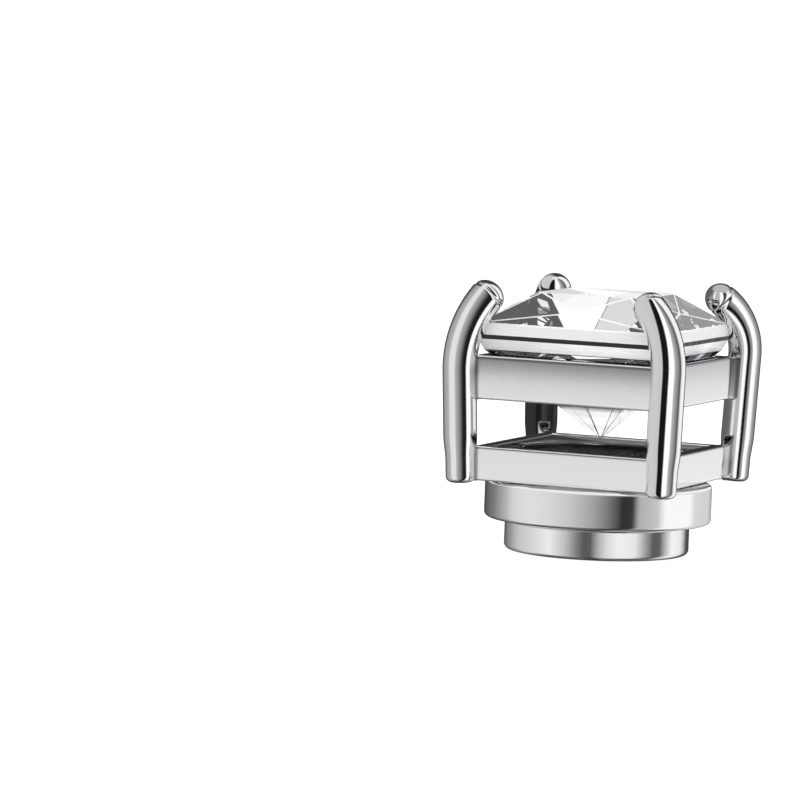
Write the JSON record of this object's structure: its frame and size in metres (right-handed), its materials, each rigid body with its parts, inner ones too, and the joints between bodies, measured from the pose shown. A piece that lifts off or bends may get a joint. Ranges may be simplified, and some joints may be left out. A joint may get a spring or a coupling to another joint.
{
  "type": "magnetic stud earring",
  "caption": "Square magnetic stud earring: a square brilliant stone in an open claw basket on a round magnet, held by a smaller loose round magnet behind the lobe.",
  "frame": {"origin": "middle of the loose back magnet's outer face, which the stud stands on", "axes": "+Z from the magnets up to the table of the stone, along the axis of both magnets; X and Y square to the flat sides of the stone"},
  "size_m": [0.0078, 0.0078, 0.0083],
  "materials": {
    "stone": "clear cubic zirconia, cut and polished",
    "basket_metal": "cast stainless steel, mirror polished",
    "magnet_plating": "bright nickel plating on a turned disc"
  },
  "bodies": {
    "stud": {"stone": "stone", "basket": "basket_metal", "front_magnet": "magnet_plating"},
    "clasp": {"back_magnet": "magnet_plating"}
  },
  "joints": [
    {"name": "back_pull", "type": "slide", "parent": "clasp", "child": "stud", "axis": [0, 0, 1], "range_m": [0, 0.008], "stiffness_N_per_m": 0.1, "springref_m": -0.05}
  ]
}
